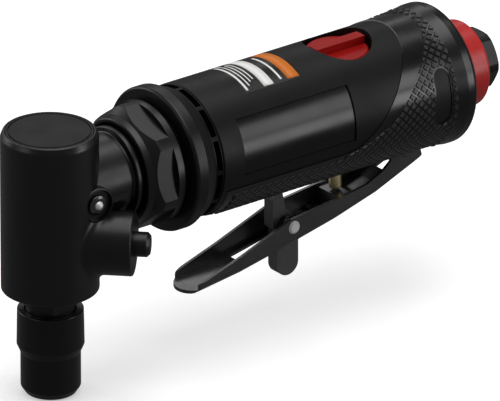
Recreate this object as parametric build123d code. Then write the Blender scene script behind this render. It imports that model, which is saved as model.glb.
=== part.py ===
from build123d import *
import math
import os

# Right-angle air die grinder, in millimetres.
# The tool body lies along +X and the output spindle along Z. Every sub-part is drawn about the
# point where the two axes cross, and save() lifts it so that the origin is the collet's mouth.

# ------------------------------------------------------------------ driving dimensions
AXIS_HEIGHT = 59.7            # body axis above the collet's mouth
FIT = 0.01                    # radial gap of pressed parts
RUNNING = 0.05                # radial gap of turning and sliding parts
GAP = 0.3                     # clear space between parts that never touch

HEAD_RADIUS = 13.6
HEAD_TOP = 18.3
HEAD_BOTTOM = -28.7
CHAMBER_RADIUS = 9.9
NECK_RADIUS = 11.5
NECK_END = 20.6
HEAD_FLANGE_RADIUS = 13.2
HEAD_FLANGE_END = 22.2
SPIGOT_RADIUS = 12.6
SPIGOT_END = 29.0
CAP_RADIUS = 12.4
CAP_SEAT = 16.5

GREASE_X = 6.9
GREASE_HEIGHT = -1.4
GREASE_FACE = 13.3            # distance of the grease boss's face from the body axis
GREASE_BOSS_RADIUS = 5.1

LOCK_ANGLE = -45.0            # direction of the spindle lock about the spindle
LOCK_HEIGHT = -14.3
LOCK_FACE = 23.4              # distance of the lock boss's face from the spindle axis
LOCK_BOSS_RADIUS = 9.0
LOCK_BUTTON_RADIUS = 3.5
LOCK_BUTTON_END = 27.8
LOCK_PIN_RADIUS = 1.5
LOCK_PIN_TIP = 7.4
LOCK_HOLES = 4

GEAR_TEETH = 16
GEAR_PITCH_RADIUS = 8.0       # both mitre gears are alike and their pitch cones stand at 45 degrees
GEAR_FACE_START = 5.2         # distance of the small end from the cones' common tip
TIP_CONE = 1.153              # tooth tip radius per millimetre from the cones' tip
ROOT_CONE = 0.823
TIP_HALF_ANGLE = 2.4
ROOT_HALF_ANGLE = 8.7
GEAR_HUB_RADIUS = 6.2
GEAR_HUB_END = 18.2

SPINDLE_RADIUS = 4.0
SPINDLE_TOP_RADIUS = 3.0
SPINDLE_FLANGE_RADIUS = 7.0
SPINDLE_FLANGE_TOP = -28.8
SPINDLE_FLANGE_BOTTOM = -36.2
SPINDLE_FLATS = 12.0
SPINDLE_THREAD_RADIUS = 6.0
SPINDLE_END = -51.7

UPPER_BEARING = (3.0, 9.5, 9.5, 15.3)       # inner radius, outer radius, start, end
LOWER_BEARING = (4.0, 11.0, -25.4, -18.4)
PINION_BEARING = (3.0, 9.5, 11.5, 17.5)
FRONT_BEARING = (3.0, 9.5, 44.6, 50.4)
REAR_BEARING = (2.5, 8.0, 83.0, 88.0)

CIRCLIP_START = 17.6          # snap ring that holds the pinion's bearing
CIRCLIP_WIDTH = 1.0
CIRCLIP_INNER = 8.3
CIRCLIP_GROOVE = 10.2
KEY_HALF_WIDTH = 1.0
KEY_SPAN = (-14.0, -9.0)
KEY_TOP = 5.0

COLLET_BORE = 3.0             # takes a 6 mm shank
COLLET_BORE_LENGTH = 19.0
COLLET_SLOT = 0.6
NUT_TOP = 25.0                # heights of the nut are taken above the collet's mouth
NUT_SHOULDER = 12.1
NUT_HOOD_RADIUS = 9.2
NUT_FLARE_RADIUS = 9.38
NUT_RADIUS = 8.35

CLAMP_START = 22.8
CLAMP_SHOULDER = 31.3
CLAMP_END = 33.8
CLAMP_RADIUS = 17.6
CLAMP_FLATS = 32.0
CLAMP_TURN = 9.0              # tilt of the flats about the body axis
SNAP_RING_START = 27.0
SNAP_RING_WIDTH = 1.4
SNAP_RING_RADIUS = 14.2

RING_START = 35.4
RING_END = 43.1
RING_RADIUS = 20.65
SLOT_RING_RADIUS = 18.7
SLOT_COUNT = 12
NOSE_THREAD_RADIUS = 14.3
NOSE_RADIUS = 15.6

BODY_START = 45.8
BODY_END = 134.5
BODY_RADIUS = 19.05
CORE_RADIUS = 17.6            # body under the rubber grip
GRIP_RADIUS = 19.3
GRIP_START = 47.4
GRIP_EDGE_HEIGHT = -6.8       # upper edge of the strip under the body
RIM_RADIUS = 20.3
RIM_START = 130.4
RIM_END = 135.3
MOTOR_RADIUS = 15.7
MOTOR_BORE = 15.8
MOTOR_START = 50.5
MOTOR_END = 88.0
CYLINDER_START = 54.5
CYLINDER_END = 80.5
CYLINDER_OFFSET = 1.0
CYLINDER_BORE = 12.4
ROTOR_RADIUS = 11.0
VANE_COUNT = 5
VANE_THICKNESS = 1.6

DIAL_X = 99.5
DIAL_RADIUS = 8.9
DIAL_TOP = 16.1
DIAL_GRIP_TOP = 18.4
DIAL_GRIP_WIDTH = 3.6
DIAL_POCKET_RADIUS = 9.7
DIAL_POCKET_FLOOR = 13.0
DIAL_STEM_RADIUS = 5.0

VALVE_X = 99.0
STEM_RADIUS = 1.8
STEM_BOTTOM = -26.1
BUSH_BOTTOM = -18.4
BUSH_TOP = -7.0
BUSH_RADIUS = 4.5
VALVE_SEAT = -6.2
PASSAGE_RADIUS = 5.0

BUSHING_START = 121.0
BUSHING_THREAD_RADIUS = 9.5
INLET_RADIUS = 5.8
INLET_LENGTH = 13.0
AIRWAY_RADIUS = 4.5           # air passage behind the threaded bore, which holds the screen
HEX_START = 144.5
HEX_END = 150.4
HEX_FLATS = 16.0
HEX_CORNER_RADIUS = 8.7
RED_RING_RADIUS = 12.45

PIVOT = (119.3, -18.2)        # lever hinge in X and height
LEVER_HALF_WIDTH = 6.15
SHEET = 0.9
LUG_HALF_WIDTH = 4.6
EAR_CLEARANCE = 0.95          # beside the lever's ears and the hinge pin's heads
EAR_POCKET_TOP = -14.0
LEVER_NOSE = 44.0
LEVER_SLOT_START = 64.4
LATCH_PIVOT = (79.8, -30.6)
LATCH_THICKNESS = 4.1
PIN_RADIUS = 1.5
RIVET_HEAD_RADIUS = 1.9

LABEL_START = 60.3
LABEL_END = 79.6
LABEL_HALF_ANGLE = 31.0
PANEL_START = 53.0
PANEL_END = 91.7
PANEL_ANGLES = (49.5, 99.5)   # measured from the top, down each side
PLATE_CENTRE = (122.3, 1.6)
PLATE_LENGTH = 16.2
PLATE_WIDTH = 5.2

os.makedirs("parts", exist_ok=True)


# ------------------------------------------------------------------ helpers
def save(name, shape):
    """Lift a sub-part from the axes' crossing to the part's frame and write it."""
    export_step(Pos(0, 0, AXIS_HEIGHT) * shape, f"parts/{name}.step")


def turned(corners, along="Z"):
    """Solid of revolution from (station, radius) corners; a third value rounds that corner."""
    points = [(corner[1], corner[0]) for corner in corners]
    roundings = [corner[2] if len(corner) > 2 else 0 for corner in corners]
    outline = make_face(FilletPolyline(*points, radius=roundings, close=True))
    solid = revolve(Plane.XZ * outline, Axis.Z)
    return Rot(0, 90, 0) * solid if along == "X" else solid


def rod(radius, start, end, along="Z"):
    """Plain round bar between two stations."""
    return turned([(start, 0), (start, radius), (end, radius), (end, 0)], along)


def tube(inner, outer, start, end, along="Z"):
    """Plain round tube between two stations."""
    return turned([(start, inner), (start, outer), (end, outer), (end, inner)], along)


def block(x, y, z):
    """Box from three (low, high) pairs."""
    size = [high - low for low, high in (x, y, z)]
    middle = [(high + low) / 2 for low, high in (x, y, z)]
    return Pos(*middle) * Box(*size)


def outward(shape, angle, height=0.0):
    """Turn a shape drawn along Z so that it points out of the spindle axis at a plan angle."""
    return Pos(0, 0, height) * Rot(0, 0, angle) * Rot(0, 90, 0) * shape


def side_view(outline, half_width):
    """Extrude an outline in X and height to both sides of the middle plane."""
    return extrude(Plane.XZ * outline, half_width, both=True)


def coil_spring(mean_radius, wire_radius, length, turns):
    """Round-wire compression spring standing on Z = 0."""
    path = Helix(pitch=length / turns, height=length, radius=mean_radius)
    section = Plane(origin=path @ 0, z_dir=path % 0) * Circle(wire_radius)
    return sweep(section, path=path, is_frenet=True)


def ball_bearing(dimensions, balls, along="Z"):
    """Outer race, inner race and ball set of a deep-groove bearing."""
    inner, outer, start, end = dimensions
    pitch = (inner + outer) / 2
    ball = 0.28 * (outer - inner)
    middle = (start + end) / 2
    land = 0.55 * ball
    groove = Pos(0, 0, middle) * Torus(pitch, ball + RUNNING)
    outer_race = tube(pitch + land, outer - FIT, start, end) - groove
    inner_race = tube(inner + FIT, pitch - land, start, end) - groove
    spots = [Rot(0, 0, 360 * i / balls) * Pos(pitch, 0, middle) for i in range(balls)]
    ball_set = Compound([spot * Sphere(ball) for spot in spots])
    turn = Rot(0, 90, 0) if along == "X" else Rot(0, 0, 0)
    return turn * outer_race, turn * inner_race, turn * ball_set


def save_bearing(name, dimensions, balls, along="Z"):
    outer_race, inner_race, ball_set = ball_bearing(dimensions, balls, along)
    save(f"{name}_outer_race", outer_race)
    save(f"{name}_inner_race", inner_race)
    save(f"{name}_balls", ball_set)


def bevel_teeth(phase):
    """Straight mitre teeth whose cone tip is at the origin, with the large end up."""
    pitch_angle = 360 / GEAR_TEETH

    def section(distance):
        corners = []
        for tooth in range(GEAR_TEETH):
            middle = tooth * pitch_angle + phase
            for cone, offset in (
                (ROOT_CONE, -ROOT_HALF_ANGLE),
                (TIP_CONE, -TIP_HALF_ANGLE),
                (TIP_CONE, TIP_HALF_ANGLE),
                (ROOT_CONE, ROOT_HALF_ANGLE),
            ):
                angle = math.radians(middle + offset)
                radius = cone * distance
                corners.append((radius * math.cos(angle), radius * math.sin(angle)))
        return Plane.XY.offset(distance) * make_face(Polyline(*corners, close=True))

    return loft([section(GEAR_FACE_START), section(GEAR_PITCH_RADIUS)], ruled=True)


# ------------------------------------------------------------------ angle head
def near_side(shape):
    """Turn a shape drawn along Z so that it points out of the grease boss, towards -Y."""
    return Pos(GREASE_X, 0, GREASE_HEIGHT) * Rot(90, 0, 0) * shape


def head_outside():
    column = turned([
        (HEAD_BOTTOM, 0),
        (HEAD_BOTTOM, HEAD_RADIUS, 0.6),
        (HEAD_TOP - 1.7, HEAD_RADIUS, 2.4),
        (HEAD_TOP, CAP_RADIUS + 0.5, 0.4),
        (HEAD_TOP, 0),
    ])
    boss = turned([(0, 0), (0, LOCK_BOSS_RADIUS), (LOCK_FACE, LOCK_BOSS_RADIUS, 0.6), (LOCK_FACE, 0)])
    joined = column + outward(boss, LOCK_ANGLE, LOCK_HEIGHT)
    seam = [
        edge for edge in joined.edges()
        if edge.geom_type not in (GeomType.CIRCLE, GeomType.LINE) and edge.length > LOCK_BOSS_RADIUS
    ]
    blended = fillet(seam, 2.6)
    neck = turned([
        (0, 0),
        (0, NECK_RADIUS),
        (NECK_END, NECK_RADIUS, 0.5),
        (NECK_END, HEAD_FLANGE_RADIUS, 0.4),
        (HEAD_FLANGE_END, HEAD_FLANGE_RADIUS, 0.4),
        (HEAD_FLANGE_END, SPIGOT_RADIUS),
        (SPIGOT_END, SPIGOT_RADIUS, 0.5),
        (SPIGOT_END, 0),
    ], "X")
    grease_boss = near_side(turned([
        (0, 0),
        (0, GREASE_BOSS_RADIUS),
        (GREASE_FACE, GREASE_BOSS_RADIUS, 0.5),
        (GREASE_FACE, 0),
    ]))
    rib = block((GREASE_X, 17.8), (-NECK_RADIUS - 0.8, 0), (GREASE_HEIGHT - 0.9, GREASE_HEIGHT + 0.5))
    return blended + neck + grease_boss + rib


def head_housing():
    inside = (
        rod(CHAMBER_RADIUS, LOWER_BEARING[2], UPPER_BEARING[2])
        + rod(UPPER_BEARING[1], UPPER_BEARING[2], CAP_SEAT)
        + rod(CAP_RADIUS, CAP_SEAT, HEAD_TOP)
        + rod(LOWER_BEARING[1], HEAD_BOTTOM, LOWER_BEARING[3])
        + rod(PINION_BEARING[1], 3.0, SPIGOT_END, "X")
        + tube(CIRCLIP_INNER, CIRCLIP_GROOVE, CIRCLIP_START, CIRCLIP_START + CIRCLIP_WIDTH, "X")
    )
    snap_groove = tube(
        SPIGOT_RADIUS - 0.6, SPIGOT_RADIUS + 1.0, SNAP_RING_START, SNAP_RING_START + SNAP_RING_WIDTH, "X"
    )
    lock_bore = outward(
        rod(LOCK_PIN_RADIUS + RUNNING, LOCK_PIN_TIP, LOCK_FACE)
        + rod(LOCK_BUTTON_RADIUS + RUNNING, 14.0, LOCK_FACE),
        LOCK_ANGLE, LOCK_HEIGHT,
    )
    grease_bore = near_side(
        rod(1.2, 6.0, GREASE_FACE) + rod(3.0, 10.4, GREASE_FACE) + rod(4.5, GREASE_FACE - 1.0, GREASE_FACE)
    )
    return head_outside() - inside - snap_groove - lock_bore - grease_bore


def pinion_circlip():
    end = CIRCLIP_START + CIRCLIP_WIDTH
    ring = tube(CIRCLIP_INNER, CIRCLIP_GROOVE - FIT, CIRCLIP_START + FIT, end - FIT, "X")
    opening = block((CIRCLIP_START, end), (-2.5, 2.5), (0, CIRCLIP_GROOVE))
    return ring - opening


def head_cap():
    disc = turned([
        (CAP_SEAT + FIT, 0),
        (CAP_SEAT + FIT, CAP_RADIUS - FIT),
        (HEAD_TOP, CAP_RADIUS - FIT, 0.35),
        (HEAD_TOP, 0),
    ])
    return disc - tube(11.2, 11.6, HEAD_TOP - 0.4, HEAD_TOP)


def grease_fitting():
    return near_side(turned([
        (10.4, 0.8),
        (10.4, 2.9),
        (GREASE_FACE - 0.3, 2.9, 0.4),
        (GREASE_FACE + 0.1, 2.1),
        (GREASE_FACE + 0.1, 1.45),
        (GREASE_FACE - 1.9, 1.45),
        (GREASE_FACE - 1.9, 0.8),
    ]))


def grease_fitting_ball():
    return near_side(Pos(0, 0, GREASE_FACE - 0.45) * Sphere(1.4))


def bearing_retainer():
    ring = turned([
        (HEAD_BOTTOM, 5.4),
        (HEAD_BOTTOM, LOWER_BEARING[1] - FIT, 0.3),
        (LOWER_BEARING[2] - FIT, LOWER_BEARING[1] - FIT),
        (LOWER_BEARING[2] - FIT, 5.4),
    ])
    for angle in (45, 225):
        spanner_hole = rod(0.9, HEAD_BOTTOM, HEAD_BOTTOM + 1.6)
        ring -= Rot(0, 0, angle) * Pos(8.4, 0, 0) * spanner_hole
    return ring


def lock_button():
    body = turned([
        (LOCK_PIN_TIP, 0),
        (LOCK_PIN_TIP, LOCK_PIN_RADIUS, 0.4),
        (19.0, LOCK_PIN_RADIUS),
        (19.0, LOCK_BUTTON_RADIUS),
        (LOCK_BUTTON_END - 0.8, LOCK_BUTTON_RADIUS),
        (LOCK_BUTTON_END, LOCK_BUTTON_RADIUS - 0.8),
        (LOCK_BUTTON_END, 0),
    ])
    return outward(body, LOCK_ANGLE, LOCK_HEIGHT)


def lock_spring():
    spring = Pos(0, 0, 14.4) * coil_spring(2.9, 0.35, 4.2, 3)
    return outward(spring, LOCK_ANGLE, LOCK_HEIGHT)


# ------------------------------------------------------------------ gears and spindle
def pinion_shaft():
    teeth = Rot(0, 90, 0) * bevel_teeth(180 / GEAR_TEETH)
    shaft = turned([
        (GEAR_PITCH_RADIUS, 0),
        (GEAR_PITCH_RADIUS, GEAR_HUB_RADIUS),
        (10.4, GEAR_HUB_RADIUS),
        (11.4, 4.4),
        (11.4, PINION_BEARING[0]),
        (20.5, PINION_BEARING[0]),
        (21.5, 5.6),
        (34.0, 5.6),
        (34.0, 0),
    ], "X")
    socket = Pos(24.0, 0, 0) * Rot(0, 90, 0) * extrude(RegularPolygon(3.1, 6, major_radius=False), 10.0)
    return teeth + shaft - socket


def driven_bevel_gear():
    gear = Rot(180, 0, 0) * bevel_teeth(0) + rod(GEAR_HUB_RADIUS, -GEAR_HUB_END, -GEAR_PITCH_RADIUS)
    gear -= rod(SPINDLE_RADIUS + FIT, -GEAR_HUB_END, 0)
    half = KEY_HALF_WIDTH + FIT
    gear -= block((0, KEY_TOP + FIT), (-half, half), (-GEAR_HUB_END, KEY_SPAN[1]))
    for index in range(LOCK_HOLES):
        angle = LOCK_ANGLE + 360 * index / LOCK_HOLES
        gear -= outward(rod(1.95, SPINDLE_RADIUS, GEAR_HUB_RADIUS + 1), angle, LOCK_HEIGHT)
    return gear


def gear_key():
    return block((2.6, KEY_TOP), (-KEY_HALF_WIDTH, KEY_HALF_WIDTH), KEY_SPAN)


def spindle():
    shaft = turned([
        (UPPER_BEARING[3] + 0.6, 0),
        (UPPER_BEARING[3] + 0.6, SPINDLE_TOP_RADIUS, 0.4),
        (UPPER_BEARING[2], SPINDLE_TOP_RADIUS),
        (UPPER_BEARING[2], 3.6),
        (-4.0, 3.6),
        (-4.0, SPINDLE_RADIUS),
        (LOWER_BEARING[2] - FIT, SPINDLE_RADIUS),
        (LOWER_BEARING[2] - FIT, 5.0),
        (SPINDLE_FLANGE_TOP, 5.0),
        (SPINDLE_FLANGE_TOP, SPINDLE_FLANGE_RADIUS, 0.4),
        (SPINDLE_FLANGE_BOTTOM, SPINDLE_FLANGE_RADIUS, 0.4),
        (SPINDLE_FLANGE_BOTTOM, SPINDLE_THREAD_RADIUS),
        (SPINDLE_END, SPINDLE_THREAD_RADIUS, 0.4),
        (SPINDLE_END, 5.1),
        (-38.7, 4.0),
        (-38.7, COLLET_BORE + 0.2),
        (-31.5, COLLET_BORE + 0.2),
        (-29.9, 0),
    ])
    key_slot = block((2.59, KEY_TOP), (-KEY_HALF_WIDTH - FIT, KEY_HALF_WIDTH + FIT), KEY_SPAN)
    wide = (-10.0, 10.0)
    flat = SPINDLE_FLATS / 2
    span = (-34.3, -29.8)
    flats = block(wide, (flat, 10.0), span) + block(wide, (-10.0, -flat), span)
    return shaft - key_slot - flats


def collet():
    body = turned([
        (0, COLLET_BORE),
        (0, 3.95),
        (6.1, 4.98),
        (7.0, 4.98),
        (20.4, 3.95),
        (20.4, COLLET_BORE + 0.2),
        (COLLET_BORE_LENGTH, COLLET_BORE),
    ])
    for angle in (0, 90):
        body -= Rot(0, 0, angle) * block((-6, 6), (-COLLET_SLOT / 2, COLLET_SLOT / 2), (0, 16.0))
    return Pos(0, 0, -AXIS_HEIGHT) * body


def collet_nut():
    thread = SPINDLE_THREAD_RADIUS + RUNNING
    thread_top = AXIS_HEIGHT + SPINDLE_FLANGE_BOTTOM - 1.0
    return Pos(0, 0, -AXIS_HEIGHT) * turned([
        (NUT_TOP, SPINDLE_FLANGE_RADIUS + GAP),
        (NUT_TOP, NUT_HOOD_RADIUS, 0.3),
        (NUT_SHOULDER + 2.4, NUT_FLARE_RADIUS, 0.5),
        (NUT_SHOULDER, NUT_RADIUS, 0.3),
        (2.0, NUT_RADIUS, 1.0),
        (0, NUT_RADIUS - 1.3, 0.4),
        (0, 4.3),
        (0.6, 4.15),
        (6.5, 5.2),
        (7.5, thread),
        (thread_top, thread),
        (thread_top, SPINDLE_FLANGE_RADIUS + GAP),
    ])


# ------------------------------------------------------------------ clamp, nose and exhaust
def clamp_nut():
    body = turned([
        (CLAMP_START, 13.9, 0.3),
        (CLAMP_START, 14.8, 0.5),
        (24.6, 15.5, 0.5),
        (27.0, CLAMP_RADIUS, 0.8),
        (CLAMP_END, CLAMP_RADIUS, 0.5),
        (CLAMP_END, NOSE_THREAD_RADIUS + FIT),
        (26.8, NOSE_THREAD_RADIUS + FIT),
        (26.8, SPIGOT_RADIUS + FIT),
        (24.4, SPIGOT_RADIUS + FIT),
    ], "X")
    half = CLAMP_FLATS / 2
    for index in range(6):
        cut = block((CLAMP_START, CLAMP_SHOULDER), (-12, 12), (half, half + 6))
        body -= Rot(90 - CLAMP_TURN + 60 * index, 0, 0) * cut
    return body


def snap_ring():
    start = SNAP_RING_START + FIT
    end = SNAP_RING_START + SNAP_RING_WIDTH - FIT
    ring = tube(SPIGOT_RADIUS - 0.6 + FIT, SNAP_RING_RADIUS, start, end, "X")
    return ring - block((start, end), (-1.5, 1.5), (0, SNAP_RING_RADIUS + 1))


def nose_adapter():
    body = turned([
        (SPIGOT_END + 0.1, 11.0),
        (SPIGOT_END + 0.1, NOSE_THREAD_RADIUS, 0.5),
        (35.2, NOSE_THREAD_RADIUS),
        (35.2, NOSE_RADIUS),
        (BODY_START + 0.2, NOSE_RADIUS),
        (BODY_START + 0.2, 16.8),
        (MOTOR_START - 0.1, 16.8),
        (MOTOR_START - 0.1, 11.0),
    ], "X")
    for index in range(SLOT_COUNT):
        port = Pos(44.4, 0, 0) * rod(0.9, 10.0, NOSE_RADIUS + 1)
        body -= Rot(360 * (index + 0.5) / SLOT_COUNT, 0, 0) * port
    return body


def exhaust_collar():
    return turned([
        (RING_START, NOSE_RADIUS + FIT),
        (RING_START, RING_RADIUS, 0.9),
        (39.2, RING_RADIUS, 0.8),
        (RING_END, 18.8, 0.4),
        (RING_END, NOSE_RADIUS + FIT),
    ], "X")


def exhaust_ring():
    ring = tube(NOSE_RADIUS + FIT, SLOT_RING_RADIUS, RING_END + FIT, BODY_START - FIT, "X")
    pitch = 360 / SLOT_COUNT
    start = RING_END + 0.5
    end = BODY_START - 0.4
    slot = shell_patch(NOSE_RADIUS - 1, SLOT_RING_RADIUS + 1, start, end, 2, pitch - 2, 1)
    for index in range(SLOT_COUNT):
        ring -= Rot(pitch * index, 0, 0) * slot
    return ring


# ------------------------------------------------------------------ vane motor
def front_end_plate():
    return turned([
        (44.0, 7.4),
        (44.0, 10.6),
        (MOTOR_START, 10.6),
        (MOTOR_START, MOTOR_RADIUS),
        (CYLINDER_START - FIT, MOTOR_RADIUS),
        (CYLINDER_START - FIT, 3.4),
        (FRONT_BEARING[3] + FIT, 3.4),
        (FRONT_BEARING[3] + FIT, FRONT_BEARING[1]),
        (44.4, FRONT_BEARING[1]),
        (44.4, 7.4),
    ], "X")


def rear_end_plate():
    return turned([
        (CYLINDER_END + FIT, 2.9),
        (CYLINDER_END + FIT, MOTOR_RADIUS),
        (MOTOR_END - FIT, MOTOR_RADIUS, 0.4),
        (MOTOR_END - FIT, REAR_BEARING[1]),
        (REAR_BEARING[2] - FIT, REAR_BEARING[1]),
        (REAR_BEARING[2] - FIT, 2.9),
    ], "X")


def motor_cylinder():
    body = rod(MOTOR_RADIUS, CYLINDER_START, CYLINDER_END, "X")
    bore = Pos(0, 0, -CYLINDER_OFFSET) * rod(CYLINDER_BORE, CYLINDER_START, CYLINDER_END, "X")
    ports = [
        Pos(x, 0, 0) * Rot(125, 0, 0) * rod(1.1, 8.0, MOTOR_RADIUS + 1)
        for x in (61.0, 64.5, 68.0, 71.5)
    ]
    return body - bore - Compound(ports)


def vane_slots(clearance):
    length = (CYLINDER_START + GAP, CYLINDER_END - GAP)
    half = VANE_THICKNESS / 2 + clearance
    slot = block(length, (-half, half), (6.0 - clearance, ROTOR_RADIUS + 1))
    return [Rot(360 * i / VANE_COUNT, 0, 0) * slot for i in range(VANE_COUNT)]


def rotor():
    front = CYLINDER_START + GAP
    rear = CYLINDER_END - GAP
    shaft = turned([
        (34.6, 0),
        (34.6, 4.0, 0.4),
        (FRONT_BEARING[2] - 0.4, 4.0),
        (FRONT_BEARING[2] - 0.4, FRONT_BEARING[0]),
        (front, FRONT_BEARING[0]),
        (front, ROTOR_RADIUS),
        (rear, ROTOR_RADIUS),
        (rear, REAR_BEARING[0]),
        (REAR_BEARING[3] + 0.6, REAR_BEARING[0], 0.3),
        (REAR_BEARING[3] + 0.6, 0),
    ], "X")
    drive_hex = Pos(25.0, 0, 0) * Rot(0, 90, 0) * extrude(RegularPolygon(3.05, 6, major_radius=False), 10.0)
    body = shaft + drive_hex
    for slot in vane_slots(RUNNING):
        body -= slot
    return body


def rotor_vanes():
    limit = rod(ROTOR_RADIUS + 0.1, CYLINDER_START, CYLINDER_END, "X")
    return Compound([vane & limit for vane in vane_slots(0)])


# ------------------------------------------------------------------ body
def shell_patch(inner, outer, start, end, low_angle, high_angle, side):
    """Piece of a tube between two angles, measured from the top down one side (+1 is +Y)."""
    ring = tube(inner, outer, start, end, "X")
    reach = 3 * outer
    corners = [(0, 0)]
    steps = 4
    for step in range(steps + 1):
        angle = math.radians(low_angle + (high_angle - low_angle) * step / steps)
        corners.append((side * reach * math.sin(angle), reach * math.cos(angle)))
    wedge = extrude(Plane.YZ.offset(start) * make_face(Polyline(*corners, close=True)), end - start)
    return ring & wedge


def grip_region():
    """Side view of the rubber grip: the rear of the tool and a strip along its underside."""
    top = (117.6, 22.0)
    foot = (87.1, GRIP_EDGE_HEIGHT)
    front_edge = Spline(
        top, (111.3, 12.7), (101.4, 0.9), (94.1, -5.3), foot,
        tangents=((-0.4, -1), (-1, 0)),
    )
    border = Polyline(
        foot, (GRIP_START, GRIP_EDGE_HEIGHT), (GRIP_START, -24.0), (140.0, -24.0), (140.0, 22.0), top
    )
    return side_view(make_face([front_edge, border]), 24.0)


def ear_pocket():
    """Room for the lever's ears on both sides of the hinge lug."""
    reach = LEVER_HALF_WIDTH + EAR_CLEARANCE
    return block((112.0, 126.0), (-reach, reach), (-24.0, EAR_POCKET_TOP))


def hinge_lug():
    x, height = PIVOT
    outline = (
        Pos(x, height) * Circle(3.3)
        + Pos(x, height + 3.0) * Rectangle(6.6, 6.0)
        + Pos(x - 4.4, height + 5.2) * Rectangle(8.8, 4.0)
    )
    lug = side_view(outline, LUG_HALF_WIDTH)
    return lug - Pos(x, 0, height) * Rot(90, 0, 0) * Cylinder(PIN_RADIUS + FIT, 20)


def body_bores():
    """Everything cut from the body: motor, air passage, valve, regulator and inlet."""
    return (
        rod(16.81, BODY_START - 1, MOTOR_START - 0.05, "X")
        + rod(MOTOR_BORE, MOTOR_START - 1, MOTOR_END, "X")
        + rod(3.5, MOTOR_END - 1, VALVE_X, "X")
        + rod(PASSAGE_RADIUS, VALVE_X, BUSHING_START, "X")
        + rod(BUSHING_THREAD_RADIUS + FIT, BUSHING_START, BODY_END, "X")
        + Pos(VALVE_X, 0, 0) * rod(BUSH_RADIUS + FIT, -22.0, 0)
        + Pos(DIAL_X, 0, 0) * rod(DIAL_STEM_RADIUS + RUNNING, 0, DIAL_POCKET_FLOOR)
        + Pos(DIAL_X, 0, 0) * rod(DIAL_POCKET_RADIUS, DIAL_POCKET_FLOOR, RIM_RADIUS)
    )


def motor_housing():
    outside = turned([
        (BODY_START, 0),
        (BODY_START, BODY_RADIUS, 0.4),
        (BODY_END, BODY_RADIUS),
        (BODY_END, 0),
    ], "X")
    under_grip = tube(CORE_RADIUS, RIM_RADIUS + 2, GRIP_START - 2, BODY_END + 1, "X") & grip_region()
    body = outside - under_grip - ear_pocket() + hinge_lug()
    label_seat = shell_patch(18.8, 20, LABEL_START, LABEL_END, -LABEL_HALF_ANGLE, LABEL_HALF_ANGLE, 1)
    body = body - body_bores() - label_seat
    for side in (-1, 1):
        body -= shell_patch(17.9, 20, PANEL_START, PANEL_END, *PANEL_ANGLES, side)
    return body


def grip_overmold():
    shell = turned([
        (GRIP_START, CORE_RADIUS + FIT),
        (GRIP_START, GRIP_RADIUS, 0.5),
        (124.6, GRIP_RADIUS, 3.0),
        (RIM_START, RIM_RADIUS, 1.5),
        (RIM_END - 2.3, RIM_RADIUS, 1.4),
        (RIM_END, 17.4, 1.0),
        (RIM_END, 14.6),
        (BODY_END + FIT, 14.6),
        (BODY_END + FIT, CORE_RADIUS + FIT),
    ], "X")
    grip = (shell & grip_region()) - ear_pocket()
    x, height = PIVOT
    lug_room = block((x - 9.0, x + 3.4), (-LUG_HALF_WIDTH - 0.1, LUG_HALF_WIDTH + 0.1), (-24.0, -10.0))
    stem_room = Pos(VALVE_X, 0, 0) * rod(BUSH_RADIUS + FIT, -24.0, -10.0)
    grip = grip - lug_room - stem_room
    for side in (-1, 1):
        grip -= plate_outline(side, GRIP_RADIUS - 0.5, RIM_RADIUS + 1, 0.0)
    return grip


def plate_outline(side, inner, outer, margin):
    """Rounded slot shape wrapped on the grip, between two radii."""
    x, height = PLATE_CENTRE
    slot = SlotOverall(PLATE_LENGTH - 2 * margin, PLATE_WIDTH - 2 * margin, rotation=90)
    prism = extrude(Plane.XZ * (Pos(x, height) * slot), -side * 30.0)
    return prism & tube(inner, outer, x - 10, x + 10, "X")


def grip_plates():
    inner = GRIP_RADIUS - 0.5 + FIT
    outer = GRIP_RADIUS - 0.2
    return Compound([plate_outline(side, inner, outer, 0.05) for side in (-1, 1)])


def side_panel(side):
    low, high = PANEL_ANGLES
    return shell_patch(17.9 + FIT, 18.6, PANEL_START + 0.1, PANEL_END - 0.1, low + 0.3, high - 0.3, side)


def top_label():
    half = LABEL_HALF_ANGLE - 0.3
    return shell_patch(18.8 + FIT, 19.02, LABEL_START + 0.1, LABEL_END - 0.1, -half, half, 1)


# ------------------------------------------------------------------ valve, regulator and inlet
def regulator_dial():
    disc = turned([
        (DIAL_POCKET_FLOOR + GAP, 0),
        (DIAL_POCKET_FLOOR + GAP, DIAL_RADIUS, 0.3),
        (DIAL_TOP, DIAL_RADIUS, 0.6),
        (DIAL_TOP, 0),
    ])
    grip = block((-DIAL_RADIUS + 0.4, DIAL_RADIUS - 0.4), (-DIAL_GRIP_WIDTH / 2, DIAL_GRIP_WIDTH / 2),
                 (DIAL_TOP - 1.0, DIAL_GRIP_TOP))
    grip = grip & rod(DIAL_RADIUS - 0.4, 0, DIAL_GRIP_TOP)
    stem = turned([
        (2.0, 0),
        (2.0, 2.6),
        (5.4, 2.6),
        (5.4, DIAL_STEM_RADIUS),
        (8.6, DIAL_STEM_RADIUS),
        (8.6, 3.9),
        (10.6, 3.9),
        (10.6, DIAL_STEM_RADIUS),
        (DIAL_POCKET_FLOOR + 1.0, DIAL_STEM_RADIUS),
        (DIAL_POCKET_FLOOR + 1.0, 0),
    ])
    return Pos(DIAL_X, 0, 0) * (disc + grip + stem)


def dial_o_ring():
    return Pos(DIAL_X, 0, 9.6) * Torus(4.5, 0.5)


def valve_bush():
    return Pos(VALVE_X, 0, 0) * turned([
        (BUSH_BOTTOM, STEM_RADIUS + RUNNING),
        (BUSH_BOTTOM, BUSH_RADIUS, 0.4),
        (BUSH_TOP, BUSH_RADIUS),
        (BUSH_TOP, 2.6),
        (BUSH_TOP - 1.4, STEM_RADIUS + RUNNING),
    ])


def valve_seat_ring():
    return Pos(VALVE_X, 0, BUSH_TOP + 0.4 + FIT) * Torus(3.2, 0.4)


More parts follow.
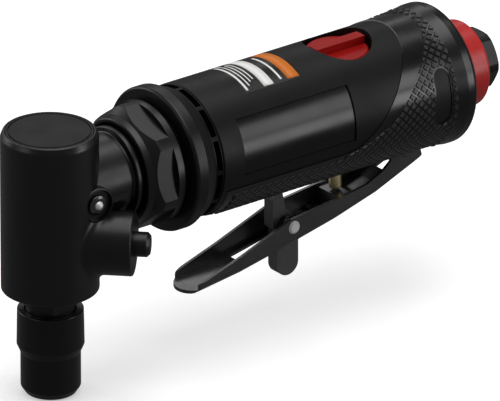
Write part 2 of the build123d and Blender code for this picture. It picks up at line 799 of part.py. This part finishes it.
def valve_stem():
    return Pos(VALVE_X, 0, 0) * turned([
        (STEM_BOTTOM, 0),
        (STEM_BOTTOM, STEM_RADIUS, 0.9),
        (VALVE_SEAT + 0.1, STEM_RADIUS),
        (VALVE_SEAT + 0.1, 3.6, 0.3),
        (VALVE_SEAT + 1.9, 3.6, 0.3),
        (VALVE_SEAT + 1.9, 1.4),
        (VALVE_SEAT + 3.4, 1.2),
        (VALVE_SEAT + 3.4, 0),
    ])


def valve_spring():
    return Pos(VALVE_X, 0, VALVE_SEAT + 2.3) * coil_spring(2.6, 0.3, 5.2, 4)


def inlet_bushing():
    body = turned([
        (BUSHING_START + FIT, AIRWAY_RADIUS),
        (BUSHING_START + FIT, BUSHING_THREAD_RADIUS, 0.6),
        (134.0, BUSHING_THREAD_RADIUS),
        (134.0, 8.9),
        (HEX_START, 8.9),
        (HEX_START, 8.2),
        (HEX_START + 0.4, HEX_CORNER_RADIUS),
        (HEX_END - 0.4, HEX_CORNER_RADIUS),
        (HEX_END, 7.8),
        (HEX_END, INLET_RADIUS + 0.8),
        (HEX_END - 0.8, INLET_RADIUS),
        (HEX_END - INLET_LENGTH, INLET_RADIUS),
        (HEX_END - INLET_LENGTH, AIRWAY_RADIUS),
    ], "X")
    hexagon = Pos(HEX_START, 0, 0) * Rot(0, 90, 0) * extrude(
        RegularPolygon(HEX_FLATS / 2, 6, major_radius=False, rotation=30), HEX_END - HEX_START
    )
    return body & (hexagon + rod(BUSHING_THREAD_RADIUS + 1, BUSHING_START, HEX_START, "X"))


def inlet_screen():
    start = HEX_END - INLET_LENGTH - 1.0
    disc = rod(AIRWAY_RADIUS - FIT, start, start + 0.8, "X")
    holes = [
        Rot(60 * i, 0, 0) * Pos(0, 0, radius) * rod(0.7, start - 1, start + 2, "X")
        for radius in (1.5, 3.3) for i in range(6)
    ]
    return disc - Compound(holes)


def rear_ring():
    return turned([
        (RIM_END - 0.4, 8.9 + FIT),
        (RIM_END - 0.4, RED_RING_RADIUS, 0.3),
        (HEX_START - 0.1, RED_RING_RADIUS, 1.1),
        (HEX_START - 0.1, 8.9 + FIT),
    ], "X")


# ------------------------------------------------------------------ throttle lever and safety latch
def lever_outline(lift):
    """Side view of the lever; lift raises the underside to draw the inside of the channel."""
    under = [
        (43.6, -42.3), (47.2, -41.8), (61.5, -39.9), (71.0, -38.0), (81.4, -35.7),
        (95.0, -32.7), (109.4, -28.6), (120.6, -24.1), (125.0, -21.2),
    ]
    over = [
        (123.2, -15.1), (114.9, -17.7), (113.7, -20.1), (111.0, -22.3), (105.6, -24.7),
        (101.0, -25.5), (87.0, -27.2), (79.1, -28.1), (62.0, -34.4), (47.7, -39.1), (43.6, -41.2),
    ]
    if lift:
        under = [(x, z + lift) for x, z in under]
        under[0] = (under[0][0] - 2, under[0][1])
        under[-1] = (under[-1][0] + 2, under[-1][1])
        over = [(130.0, -10.0), (42.0, -10.0)]
    return make_face(Polyline(*under, *over, close=True))


def throttle_lever():
    outside = side_view(lever_outline(0), LEVER_HALF_WIDTH)
    lower = [
        edge for edge in outside.edges().filter_by(GeomType.LINE)
        if edge.length > 4 and abs(abs(edge.center().Y) - LEVER_HALF_WIDTH) < 0.01
        and edge.center().Z < -41.0 + 0.27 * (edge.center().X - 52.0) and edge.center().X < 118
    ]
    outside = fillet(lower, 2.2)
    inside = side_view(lever_outline(SHEET), LEVER_HALF_WIDTH - SHEET)
    tongue = Pos(LEVER_NOSE + LEVER_HALF_WIDTH, 0) * Circle(LEVER_HALF_WIDTH)
    plan = tongue + Pos(LEVER_NOSE + 50 + LEVER_HALF_WIDTH, 0) * Rectangle(100, 2 * LEVER_HALF_WIDTH)
    lever = (outside - inside) & (Pos(0, 0, -60) * extrude(plan, 60))
    slot_length = 70.0
    slot = Pos(LEVER_SLOT_START + slot_length / 2, 0) * RectangleRounded(slot_length, 7.2, 0.8)
    lever -= Pos(0, 0, -60) * extrude(slot, 60)
    lever -= pin_hole(PIVOT)
    lever -= pin_hole(LATCH_PIVOT)
    return lever


def pin_hole(centre, gap=RUNNING):
    x, height = centre
    return Pos(x, 0, height) * Rot(90, 0, 0) * Cylinder(PIN_RADIUS + gap, 30)


def rivet(centre):
    """Pin through the lever with a low round head outside each wall."""
    x, height = centre
    half = LEVER_HALF_WIDTH + RUNNING
    body = turned([
        (-half - 0.6, 0),
        (-half - 0.6, RIVET_HEAD_RADIUS - 0.5),
        (-half - 0.1, RIVET_HEAD_RADIUS),
        (-half, RIVET_HEAD_RADIUS),
        (-half, PIN_RADIUS),
        (half, PIN_RADIUS),
        (half, RIVET_HEAD_RADIUS),
        (half + 0.1, RIVET_HEAD_RADIUS),
        (half + 0.6, RIVET_HEAD_RADIUS - 0.5),
        (half + 0.6, 0),
    ])
    return Pos(x, 0, height) * Rot(90, 0, 0) * body


def safety_latch():
    x, height = LATCH_PIVOT
    hub = Circle(3.5)
    tab = Pos(1.0, -6.3) * Rectangle(7.4, 12.6) + Pos(1.0, -12.6) * Circle(3.7)
    post = make_face(FilletPolyline((-4.1, -1.0), (-4.1, 9.7), (-0.9, 9.7), (1.0, 0.0),
                                    radius=(0, 2.7, 0.3, 0), close=True))
    plate = side_view(Pos(x, height) * (hub + tab + post), LATCH_THICKNESS / 2)
    return plate - pin_hole(LATCH_PIVOT)


def latch_spring():
    x, height = LATCH_PIVOT
    coil = coil_spring(2.1, 0.3, 1.2, 2)
    return Pos(x, -LATCH_THICKNESS / 2 - 0.4, height) * Rot(90, 0, 0) * coil


def lever_leaf():
    """Bent steel strip inside the lever that carries the valve stem's end."""
    low = [
        (92.4, -31.9), (96.2, -30.95), (97.0, -27.1), (100.8, -26.8),
        (104.6, -28.3), (110.0, -26.3), (113.6, -24.0),
    ]
    strip = offset(Polyline(*low), 0.4, kind=Kind.INTERSECTION, side=Side.BOTH)
    return side_view(make_face(strip), LEVER_HALF_WIDTH - SHEET - GAP)


# ------------------------------------------------------------------ write every sub-part
def write_all():
    singles = (
        head_housing, head_cap, grease_fitting, grease_fitting_ball, bearing_retainer, lock_button,
        lock_spring, pinion_circlip, pinion_shaft, driven_bevel_gear, gear_key, spindle, collet,
        collet_nut, clamp_nut, snap_ring, nose_adapter, exhaust_collar, exhaust_ring, front_end_plate,
        rear_end_plate, motor_cylinder, rotor, rotor_vanes, motor_housing, grip_overmold, grip_plates,
        top_label, regulator_dial, dial_o_ring, valve_bush, valve_seat_ring, valve_stem, valve_spring,
        inlet_bushing, inlet_screen, rear_ring, throttle_lever, safety_latch, latch_spring, lever_leaf,
    )
    for make in singles:
        save(make.__name__, make())
    for side, name in ((-1, "near"), (1, "far")):
        save(f"side_panel_{name}", side_panel(side))
    save("lever_pin", rivet(PIVOT))
    save("latch_pin", rivet(LATCH_PIVOT))
    save_bearing("upper_bearing", UPPER_BEARING, 7)
    save_bearing("lower_bearing", LOWER_BEARING, 7)
    save_bearing("pinion_bearing", PINION_BEARING, 7, "X")
    save_bearing("front_bearing", FRONT_BEARING, 7, "X")
    save_bearing("rear_bearing", REAR_BEARING, 7, "X")


write_all()
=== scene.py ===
import math

import bmesh
import bpy
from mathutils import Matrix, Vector


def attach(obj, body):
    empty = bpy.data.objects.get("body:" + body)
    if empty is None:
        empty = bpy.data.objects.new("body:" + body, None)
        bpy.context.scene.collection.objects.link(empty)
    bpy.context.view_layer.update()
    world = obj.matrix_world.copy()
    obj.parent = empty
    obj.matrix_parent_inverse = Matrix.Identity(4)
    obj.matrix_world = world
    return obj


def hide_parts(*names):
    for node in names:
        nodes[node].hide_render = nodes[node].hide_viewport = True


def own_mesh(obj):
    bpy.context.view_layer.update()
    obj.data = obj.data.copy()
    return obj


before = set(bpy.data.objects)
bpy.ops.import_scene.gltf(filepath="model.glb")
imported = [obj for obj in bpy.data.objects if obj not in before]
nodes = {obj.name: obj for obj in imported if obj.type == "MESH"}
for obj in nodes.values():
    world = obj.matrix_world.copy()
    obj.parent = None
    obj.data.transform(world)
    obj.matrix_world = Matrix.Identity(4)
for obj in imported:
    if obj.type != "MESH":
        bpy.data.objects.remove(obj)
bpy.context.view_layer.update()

MM = 0.001
UPWARD = Vector((0, 0, 1))
AXIS_Z = 59.7 * MM            # height of the body's axis

# The photo's view: angles in degrees, lengths in millimetres.
AZIMUTH = 37.6                # from the near side round towards the head
ELEVATION = 24.35             # above the horizon
LENS = 1100
SENSOR = 36
VIEW_WIDTH = 136.799          # what the picture's width covers at the target
TARGET_ACROSS = 54.8          # target, seen from the body's axis above the collet
TARGET_UP = -2.4
FAR_LIMIT = 50                # in metres

# The rubber grip: lengths in millimetres, X along the body, heights from its axis.
GRIP_R = 19.3                 # outside of the grip
FLARE_START = 124.6           # from here the grip widens towards its rear rim
FLARE_RUN = 5.8               # length in which its radius grows by one millimetre
PAD_PITCH = 1.36              # from one row of pads to the next
PAD_HALF = 1.08               # half a pad's diagonal
PAD_RISE = 0.38
PAD_SINK = 0.05               # how far a pad's foot lies in the grip
PAD_EDGE = 0.24               # how far a top corner lies inside the foot's corner
PAD_TOP_SHARE = 0.2           # least size of the top, as a share of the foot
PAD_LEAST_AREA = 0.25         # a cut pad smaller than this is left out
PAD_FIRST_X = 47.5
PAD_ROWS = 61
TEXTURE_EDGE = (              # height, X where the pads begin
    (19.3, 124.5), (16.8, 122.1), (11.8, 117.2), (9.1, 114.5), (5.2, 110.4), (0.0, 106.0),
    (-2.6, 101.6), (-5.4, 96.4), (-7.4, 89.0), (-7.9, 84.0), (-8.0, 50.5),
)
EDGE_SLANT = 0.8              # room square to that edge, over room along X
TEXTURE_END = 127.0
BELLY_TOP = -8.0              # below this height a strip of pads runs on towards the head
BELLY_START = 50.5
PLATE = (122.3, 1.6)          # middle of the blank plate: X, height
PLATE_HALF = 5.5              # half the straight part of the plate's outline
PLATE_ROUND = 2.6             # radius of the plate's round ends
PLATE_GAP = 0.5               # bare strip round the plate
LEVER_SPACE = (               # bare zones on the underside: X from, X to, half width
    (92.0, 200.0, 6.4),       # the pressed lever's walls, to the grip's end
    (67.0, 92.0, 2.7),        # the safety latch
    (111.6, 126.4, 7.4),      # the pocket of the lever's ears
)

# The top label: lengths in millimetres, angles from the top in degrees.
PRINT_BOTTOM = 19.0           # radius just under the film's surface
PRINT_TOP = 19.045            # radius just above it
PRINT_EDGE = 29               # half the angle that the wide bars cover
WHITE_BARS = (                # X of the middle, width, angle from, angle to
    (61.5, 0.75, -20, 28), (63.0, 0.4, -24, 24), (64.3, 0.4, -16, 20), (65.6, 0.4, -22, 18),
    (73.3, 0.7, -14, 27),
)
WHITE_BLOCK = (67.0, 70.4)    # X from, X to
ORANGE_BLOCK = (75.2, 79.2)


# ---------------------------------------------------------------- camera, light and floor
def view_axes():
    """Directions across, up and towards the viewer in the photo's view."""
    azimuth = math.radians(AZIMUTH)
    elevation = math.radians(ELEVATION)
    across = Vector((math.cos(azimuth), -math.sin(azimuth), 0))
    back = Vector((
        -math.sin(azimuth) * math.cos(elevation),
        -math.cos(azimuth) * math.cos(elevation),
        math.sin(elevation),
    ))
    return across, back.cross(across), back


def make_camera():
    across, up, back = view_axes()
    target = AXIS_Z * UPWARD + TARGET_ACROSS * MM * across + TARGET_UP * MM * up
    data = bpy.data.cameras.new("camera")
    data.lens = LENS
    data.sensor_width = SENSOR
    data.clip_end = FAR_LIMIT
    camera = bpy.data.objects.new("camera", data)
    camera.location = target + back * (LENS * VIEW_WIDTH / SENSOR * MM)
    camera.rotation_euler = back.to_track_quat("Z", "Y").to_euler()
    bpy.context.scene.collection.objects.link(camera)
    bpy.context.scene.camera = camera


def softbox(name, place, aim, width, height, watts):
    data = bpy.data.lights.new(name, "AREA")
    data.shape = "RECTANGLE"
    data.size = width
    data.size_y = height
    data.energy = watts
    light = bpy.data.objects.new(name, data)
    light.location = place
    light.rotation_euler = (place - aim).to_track_quat("Z", "Y").to_euler()
    bpy.context.scene.collection.objects.link(light)


def make_studio():
    """Softboxes and a weak white world. Places and sizes are in metres, power in watts.

    top is the main light, side is mirrored in the glossy panel, low and left draw the edges,
    and behind and front help the views from other sides.
    """
    across, _, back = view_axes()
    level = Vector((back.x, back.y, 0)).normalized()
    middle = Vector((0.06, 0, 0.05))
    panel = Vector((0.09, -0.01, 0.06))
    softbox("top", middle + 0.10 * across + 0.80 * UPWARD, middle, 0.9, 0.6, 4.8)
    softbox("side", Vector((0.32, -0.31, 0.215)), panel, 0.17, 0.14, 0.22)
    softbox("low", middle + 0.75 * across + 0.22 * level + 0.02 * UPWARD, middle, 0.30, 0.20, 0.8)
    softbox("left", middle - 0.75 * across - 0.35 * level + 0.25 * UPWARD, middle, 0.40, 0.40, 1.6)
    softbox("behind", middle + Vector((0.38, 0.70, 0.56)), middle, 0.5, 0.3, 0.65)
    softbox("front", middle + Vector((-0.85, 0.15, 0.35)), middle, 0.40, 0.30, 0.6)
    world = bpy.data.worlds.new("world")
    world.use_nodes = True
    world.node_tree.nodes["Background"].inputs["Color"].default_value = (1, 1, 1, 1)
    world.node_tree.nodes["Background"].inputs["Strength"].default_value = 0.13
    bpy.context.scene.world = world
    bpy.context.scene.view_settings.view_transform = "Standard"


def make_floor():
    """White ground just below the tool. It is hidden from reflections and from bounced light."""
    reach = 4
    drop = 0.0004
    corners = [(-reach, -reach), (reach, -reach), (reach, reach), (-reach, reach)]
    mesh = bmesh.new()
    mesh.faces.new([mesh.verts.new((x, y, -drop)) for x, y in corners])
    data = bpy.data.meshes.new("floor")
    mesh.to_mesh(data)
    mesh.free()
    floor = bpy.data.objects.new("floor", data)
    bpy.context.scene.collection.objects.link(floor)
    material, tree, shader = new_material("floor", (0.93, 0.93, 0.93), roughness=0.9)
    shader.inputs["Specular IOR Level"].default_value = 0.1
    shader.inputs["Emission Color"].default_value = (1, 1, 1, 1)
    shader.inputs["Emission Strength"].default_value = 0.45
    bump(tree, shader, [(noise(tree, scale=30, detail=3), 0.1, 0.0005)])
    data.materials.append(material)
    floor.visible_glossy = False
    floor.visible_diffuse = False


# ---------------------------------------------------------------- materials
def new_material(name, colour, roughness, metallic=0.0):
    material = bpy.data.materials.new(name)
    material.use_nodes = True
    tree = material.node_tree
    shader = tree.nodes["Principled BSDF"]
    shader.inputs["Base Color"].default_value = (*colour, 1)
    shader.inputs["Roughness"].default_value = roughness
    shader.inputs["Metallic"].default_value = metallic
    return material, tree, shader


def noise(tree, scale, detail, stretch=(1, 1, 1)):
    """Noise in object space; scale counts features per metre."""
    place = tree.nodes.new("ShaderNodeTexCoord")
    mapping = tree.nodes.new("ShaderNodeMapping")
    mapping.inputs["Scale"].default_value = stretch
    texture = tree.nodes.new("ShaderNodeTexNoise")
    texture.inputs["Scale"].default_value = scale
    texture.inputs["Detail"].default_value = detail
    tree.links.new(place.outputs["Object"], mapping.inputs["Vector"])
    tree.links.new(mapping.outputs["Vector"], texture.inputs["Vector"])
    return texture.outputs["Fac"]


def spread(tree, value, low, high):
    """Map the noise's usual values, 0.3 to 0.7, to a range."""
    node = tree.nodes.new("ShaderNodeMapRange")
    node.inputs["From Min"].default_value = 0.3
    node.inputs["From Max"].default_value = 0.7
    node.inputs["To Min"].default_value = low
    node.inputs["To Max"].default_value = high
    tree.links.new(value, node.inputs["Value"])
    return node.outputs["Result"]


def bump(tree, shader, layers):
    """Stack bump layers of (height, strength, distance in metres)."""
    normal = None
    for height, strength, distance in layers:
        node = tree.nodes.new("ShaderNodeBump")
        node.inputs["Strength"].default_value = strength
        node.inputs["Distance"].default_value = distance
        tree.links.new(height, node.inputs["Height"])
        if normal:
            tree.links.new(normal, node.inputs["Normal"])
        normal = node.outputs["Normal"]
    tree.links.new(normal, shader.inputs["Normal"])


def finish(
    name, colour, roughness, metallic=0.0, grain=2500, depth=0.00004, strength=0.2, vary=0.06,
    stretch=(1, 1, 1), specular=0.5, tint=0.12,
):
    """Surface with fine grain, a slight drift of colour and uneven gloss.

    grain and stretch set the fine noise, depth and strength its relief, tint how far it moves the
    colour, and vary how far a broad noise moves the roughness.
    """
    material, tree, shader = new_material(name, colour, roughness, metallic)
    shader.inputs["Specular IOR Level"].default_value = specular
    fine = noise(tree, scale=grain, detail=3, stretch=stretch)
    broad = noise(tree, scale=90, detail=4)
    gloss = spread(tree, broad, roughness - vary, roughness + vary)
    tree.links.new(gloss, shader.inputs["Roughness"])
    mix = tree.nodes.new("ShaderNodeMix")
    mix.data_type = "RGBA"
    mix.inputs["A"].default_value = (*[c * (1 - tint) for c in colour], 1)
    mix.inputs["B"].default_value = (*[min(1, c * (1 + tint)) for c in colour], 1)
    tree.links.new(spread(tree, fine, 0, 1), mix.inputs["Factor"])
    tree.links.new(mix.outputs["Result"], shader.inputs["Base Color"])
    bump(tree, shader, [(fine, strength, depth), (broad, 0.05, 0.0002)])
    return material


PAINT = finish(
    "satin_black_paint", (0.0035, 0.0035, 0.0037), 0.34, grain=1800, strength=0.10,
)
CAP = finish(
    "cap_black_paint", (0.005, 0.005, 0.005), 0.42, grain=2200, strength=0.14, specular=0.16,
)
DARK_STEEL = finish(
    "dark_oxide_steel", (0.010, 0.010, 0.0105), 0.34, 0.2, grain=900, strength=0.12,
    stretch=(1, 1, 6),
)
NUT_STEEL = finish(
    "black_nut_steel", (0.0035, 0.0035, 0.0037), 0.30, grain=1200, strength=0.08, vary=0.03,
    stretch=(1, 1, 4), specular=0.4,
)
HOUSING = finish(
    "moulded_composite", (0.0068, 0.0064, 0.0062), 0.44, grain=2800, depth=0.00006,
    strength=0.28, specular=0.21,
)
COLLAR = finish("collar_black", (0.0045, 0.0045, 0.0048), 0.38, grain=2400, specular=0.35)
SLOT_RING = finish("slot_ring_black", (0.0015, 0.0015, 0.0016), 0.45, grain=2400, specular=0.15)
RUBBER = finish("grip_rubber", (0.0025, 0.0025, 0.0027), 0.26, grain=3200, strength=0.10)
# Several times lighter than the grip's own rubber: painted light, so the raised pads read as lit
# against the darker grooves between them.
PAD_RUBBER_PAINTED_LIGHT = finish(
    "grip_pad_painted_light", (0.022, 0.022, 0.0225), 0.42, grain=3600, depth=0.00006, strength=0.3,
)
PLATE_RUBBER = finish(
    "grip_plate_rubber", (0.0040, 0.0040, 0.0042), 0.5, grain=3000, specular=0.3,
)
PANEL = finish(
    "gloss_panel", (0.0025, 0.0025, 0.0028), 0.24, grain=300, strength=0.02, vary=0.03,
    specular=0.4,
)
FILM = finish(
    "label_film", (0.0050, 0.0050, 0.0053), 0.34, grain=1500, strength=0.06, specular=0.3,
)
LABEL_WHITE = finish(
    "label_white", (0.96, 0.96, 0.94), 0.40, grain=1500, strength=0.06, tint=0.03,
)
LABEL_ORANGE = finish(
    "label_orange", (0.72, 0.20, 0.025), 0.40, grain=1500, strength=0.06, specular=0.3, tint=0.05,
)
RED = finish(
    "red_plastic", (0.31, 0.007, 0.006), 0.34, grain=1600, strength=0.08, specular=0.1, tint=0.08,
)
RED_RING = finish(
    "red_satin_ring", (0.52, 0.022, 0.020), 0.34, grain=1600, strength=0.08, tint=0.08,
)
GUNMETAL = finish(
    "lever_gunmetal", (0.125, 0.122, 0.122), 0.28, 0.85, grain=260, depth=0.00003,
    strength=0.22, stretch=(1, 9, 9), tint=0.10,
)
LATCH = finish("latch_matte_steel", (0.090, 0.090, 0.092), 0.50, 0.3, grain=1800)
STEEL = finish(
    "ground_steel", (0.45, 0.45, 0.45), 0.26, 1.0, grain=420, strength=0.15, stretch=(1, 6, 6),
)
# Near-white and only partly metallic: a painted reflection, standing in for the bright shine of
# the polished latch pin and the grease fitting's ball.
RIVET_PAINTED_REFLECTION = finish(
    "rivet_painted_reflection", (0.92, 0.92, 0.92), 0.40, 0.35, grain=500, strength=0.06, tint=0.03,
)
DARK_CHROME = finish(
    "dark_chrome", (0.12, 0.12, 0.12), 0.24, 1.0, grain=300, strength=0.04, vary=0.04, tint=0.03,
)
BRASS = finish(
    "turned_brass", (0.90, 0.76, 0.44), 0.42, 1.0, grain=600, strength=0.12, stretch=(1, 1, 9),
)
SPRING = finish("spring_wire", (0.45, 0.45, 0.46), 0.30, 1.0, grain=900, strength=0.1)
SOFT = finish("plain_rubber", (0.006, 0.006, 0.006), 0.6, grain=2600, strength=0.3)
VANE = finish(
    "vane_laminate", (0.16, 0.09, 0.04), 0.5, grain=600, strength=0.3, stretch=(1, 8, 8),
)
GLOSS_HEX = finish(
    "gloss_black_steel", (0.004, 0.004, 0.0045), 0.30, 0.05, grain=900, strength=0.05,
    vary=0.04, specular=0.35,
)

FINISHES = {                  # every node that isn't named here is ground steel
    "head_housing": PAINT,
    "head_cap": CAP,
    "grease_fitting": DARK_CHROME,
    "grease_fitting_ball": RIVET_PAINTED_REFLECTION,
    "lock_button": DARK_STEEL,
    "lock_spring": SPRING,
    "bearing_retainer": DARK_STEEL,
    "pinion_circlip": SPRING,
    "snap_ring": SPRING,
    "spindle": DARK_STEEL,
    "collet_nut": NUT_STEEL,
    "clamp_nut": PAINT,
    "nose_adapter": DARK_STEEL,
    "exhaust_collar": COLLAR,
    "exhaust_ring": SLOT_RING,
    "rotor_vanes": VANE,
    "motor_housing": HOUSING,
    "side_panel_near": PANEL,
    "side_panel_far": PANEL,
    "top_label": FILM,
    "grip_overmold": RUBBER,
    "grip_plates": PLATE_RUBBER,
    "rear_ring": RED_RING,
    "inlet_bushing": GLOSS_HEX,
    "regulator_dial": RED,
    "dial_o_ring": SOFT,
    "valve_bush": BRASS,
    "valve_seat_ring": SOFT,
    "valve_spring": SPRING,
    "valve_stem": BRASS,
    "throttle_lever": GUNMETAL,
    "lever_leaf": GUNMETAL,
    "lever_pin": GUNMETAL,
    "safety_latch": LATCH,
    "latch_pin": RIVET_PAINTED_REFLECTION,
    "latch_spring": DARK_STEEL,
}
SOFTENED = {                  # rounding of edges that stay sharp in the solid, in millimetres
    "throttle_lever": 0.22,
    "safety_latch": 0.30,
    "clamp_nut": 0.15,
    "regulator_dial": 0.25,
    "exhaust_ring": 0.15,
    "lever_leaf": 0.15,
    "inlet_bushing": 0.15,
}


def dress_nodes():
    for name, node in nodes.items():
        material = FINISHES.get(name, STEEL)
        node.data.materials.clear()
        node.data.materials.append(material)
    for name, width in SOFTENED.items():
        bevel = nodes[name].modifiers.new("soft_edges", "BEVEL")
        bevel.width = width * MM
        bevel.segments = 2
        bevel.limit_method = "ANGLE"
        bevel.angle_limit = math.radians(38)
        weighted = nodes[name].modifiers.new("even_shading", "WEIGHTED_NORMAL")
        weighted.keep_sharp = False


# ---------------------------------------------------------------- pieces
def add_piece(name, mesh, material, body, smooth=False):
    data = bpy.data.meshes.new(name)
    bmesh.ops.recalc_face_normals(mesh, faces=mesh.faces[:])
    for face in mesh.faces:
        face.smooth = smooth
    mesh.to_mesh(data)
    mesh.free()
    data.materials.append(material)
    piece = bpy.data.objects.new(name, data)
    bpy.context.scene.collection.objects.link(piece)
    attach(piece, body)
    return piece


def wrapped(x, arc, lift):
    """Point on the grip, lifted off it by lift; arc runs from the top towards -Y."""
    radius = (GRIP_R + max(0, x - FLARE_START) / FLARE_RUN + lift) * MM
    angle = arc / GRIP_R
    return Vector((x * MM, -radius * math.sin(angle), AXIS_Z + radius * math.cos(angle)))


def between(value, table):
    """Straight-line lookup in (key, value) pairs whose keys fall."""
    for (a, va), (b, vb) in zip(table, table[1:]):
        if value >= b:
            return va + (vb - va) * (value - a) / (b - a)
    return table[-1][1]


def allowed(x, arc):
    """Room to the nearest edge of the textured zone; negative outside the zone."""
    angle = arc / GRIP_R
    height = GRIP_R * math.cos(angle)
    side = abs(GRIP_R * math.sin(angle))
    if height > BELLY_TOP:
        room = [(x - between(height, TEXTURE_EDGE)) * EDGE_SLANT]
    else:
        room = [x - BELLY_START, BELLY_TOP - height]
    room.append(TEXTURE_END - x)
    along = max(-PLATE_HALF, min(PLATE_HALF, height - PLATE[1]))
    room.append(math.hypot(x - PLATE[0], height - PLATE[1] - along) - PLATE_ROUND - PLATE_GAP)
    if height < 0:
        for start, end, half_width in LEVER_SPACE:
            room.append(max(start - x, x - end, side - half_width))
    return min(room)


def clip(corners):
    """Cut a small polygon at the edge of the textured zone."""
    values = [allowed(*corner) for corner in corners]
    kept = []
    for index, corner in enumerate(corners):
        follower = (index + 1) % len(corners)
        if values[index] >= 0:
            kept.append(corner)
        if (values[index] >= 0) != (values[follower] >= 0):
            share = values[index] / (values[index] - values[follower])
            kept.append(tuple(a + (b - a) * share for a, b in zip(corner, corners[follower])))
    return kept


def area_of(corners):
    pairs = zip(corners, corners[1:] + corners[:1])
    return abs(sum(a[0] * b[1] - b[0] * a[1] for a, b in pairs)) / 2


def add_pad(mesh, x, arc):
    """One raised lozenge with sloping edges, cut where the textured zone ends."""
    corners = clip([
        (x - PAD_HALF, arc), (x, arc - PAD_HALF), (x + PAD_HALF, arc), (x, arc + PAD_HALF),
    ])
    if len(corners) < 3 or area_of(corners) < PAD_LEAST_AREA:
        return
    centre = [sum(corner[i] for corner in corners) / len(corners) for i in (0, 1)]
    foot = [mesh.verts.new(wrapped(a, b, -PAD_SINK)) for a, b in corners]
    top = []
    for a, b in corners:
        reach = math.hypot(a - centre[0], b - centre[1])
        keep = max(PAD_TOP_SHARE, (reach - PAD_EDGE) / reach)
        spot = (centre[0] + (a - centre[0]) * keep, centre[1] + (b - centre[1]) * keep)
        top.append(mesh.verts.new(wrapped(*spot, PAD_RISE)))
    mesh.faces.new(top)
    for i in range(len(foot)):
        j = (i + 1) % len(foot)
        mesh.faces.new((foot[i], foot[j], top[j], top[i]))


def make_grip_pads():
    """Chequered lozenges in an even number of columns round the barrel."""
    around = 2 * math.pi * GRIP_R
    columns = 2 * round(around / (2 * PAD_PITCH))
    step = around / columns
    mesh = bmesh.new()
    for column in range(columns):
        for row in range(column % 2, PAD_ROWS, 2):
            add_pad(mesh, PAD_FIRST_X + row * PAD_PITCH, column * step)
    add_piece("grip_pads", mesh, PAD_RUBBER_PAINTED_LIGHT, "housing")


def add_bar(mesh, low, high, start, end):
    """Thin curved bar on the label between two X and two angles from the top."""
    steps = 24
    outline = ((low, PRINT_BOTTOM), (high, PRINT_BOTTOM), (high, PRINT_TOP), (low, PRINT_TOP))
    rings = []
    for k in range(steps + 1):
        angle = math.radians(start + (end - start) * k / steps)
        ring = []
        for x, radius in outline:
            y = -radius * MM * math.sin(angle)
            z = AXIS_Z + radius * MM * math.cos(angle)
            ring.append(mesh.verts.new((x * MM, y, z)))
        rings.append(ring)
    for a, b in zip(rings, rings[1:]):
        for i in range(4):
            j = (i + 1) % 4
            mesh.faces.new((a[i], a[j], b[j], b[i]))
    mesh.faces.new(rings[0])
    mesh.faces.new(rings[-1])


def make_label_print():
    """Plain bars where the label is printed."""
    white = bmesh.new()
    for x, width, start, end in WHITE_BARS:
        add_bar(white, x - width / 2, x + width / 2, start, end)
    add_bar(white, *WHITE_BLOCK, -PRINT_EDGE, PRINT_EDGE)
    add_piece("label_print_white", white, LABEL_WHITE, "housing", True)
    orange = bmesh.new()
    add_bar(orange, *ORANGE_BLOCK, -PRINT_EDGE, PRINT_EDGE)
    add_piece("label_print_orange", orange, LABEL_ORANGE, "housing", True)


def make_inlet_thread():
    """Helical ridge inside the air inlet, in millimetres, that runs out at both ends."""
    pitch = 1.41
    start = 138.6
    end = 148.9
    base = 5.82               # radius at the ridge's foot
    crest = 5.25              # radius at its crest
    half_width = 0.62
    steps = 48                # per turn
    run_out = 12              # steps
    count = int((end - start) / pitch * steps)
    mesh = bmesh.new()
    previous = None
    for k in range(count + 1):
        angle = 2 * math.pi * k / steps
        x = start + pitch * k / steps
        taper = min(1.0, k / run_out, (count - k) / run_out)
        ridge = base - (base - crest) * taper
        section = []
        for shift, radius in ((-half_width, base), (0, ridge), (half_width, base)):
            y = radius * MM * math.sin(angle)
            z = AXIS_Z + radius * MM * math.cos(angle)
            section.append(mesh.verts.new(((x + shift) * MM, y, z)))
        if previous:
            for i in range(2):
                mesh.faces.new((previous[i], previous[i + 1], section[i + 1], section[i]))
        previous = section
    add_piece("inlet_thread", mesh, GLOSS_HEX, "housing", True)


def make_spring(
    name, node, foot, axis, radius, wire, length, turns,
):
    """Coil spring with a closed turn at each end, in millimetres.

    radius is the coil's and wire the wire's.
    """
    axis = Vector(axis).normalized()
    across = axis.orthogonal().normalized()
    beside = axis.cross(across)
    steps = 32                # per turn
    sides = 10                # round the wire
    count = int((turns + 2) * steps)
    mesh = bmesh.new()
    rings = []
    for k in range(count + 1):
        share = max(0.0, min(1.0, (k - steps) / (count - 2 * steps)))
        rise = wire + (length - 2 * wire) * share
        angle = 2 * math.pi * k / steps
        out = across * math.cos(angle) + beside * math.sin(angle)
        centre = Vector(foot) + axis * rise + out * radius
        ring = []
        for side in range(sides):
            turn = 2 * math.pi * side / sides
            spot = centre + out * wire * math.cos(turn) + axis * wire * math.sin(turn)
            ring.append(mesh.verts.new(spot * MM))
        rings.append(ring)
    for a, b in zip(rings, rings[1:]):
        for side in range(sides):
            follower = (side + 1) % sides
            mesh.faces.new((a[side], a[follower], b[follower], b[side]))
    mesh.faces.new(rings[0])
    mesh.faces.new(rings[-1])
    piece = add_piece(name, mesh, SPRING, "housing", True)
    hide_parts(node)
    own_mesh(piece)


make_camera()
make_studio()
make_floor()
dress_nodes()
make_grip_pads()
make_label_print()
make_inlet_thread()
make_spring(
    "valve_spring_coil", "valve_spring",
    foot=(99.0, 0, 55.5), axis=(0, 0, 1), radius=2.6, wire=0.25, length=5.8, turns=3,
)
make_spring(
    "lock_spring_coil", "lock_spring",
    foot=(9.93, -9.93, 45.4), axis=(1, -1, 0), radius=2.85, wire=0.2, length=4.85, turns=2,
)
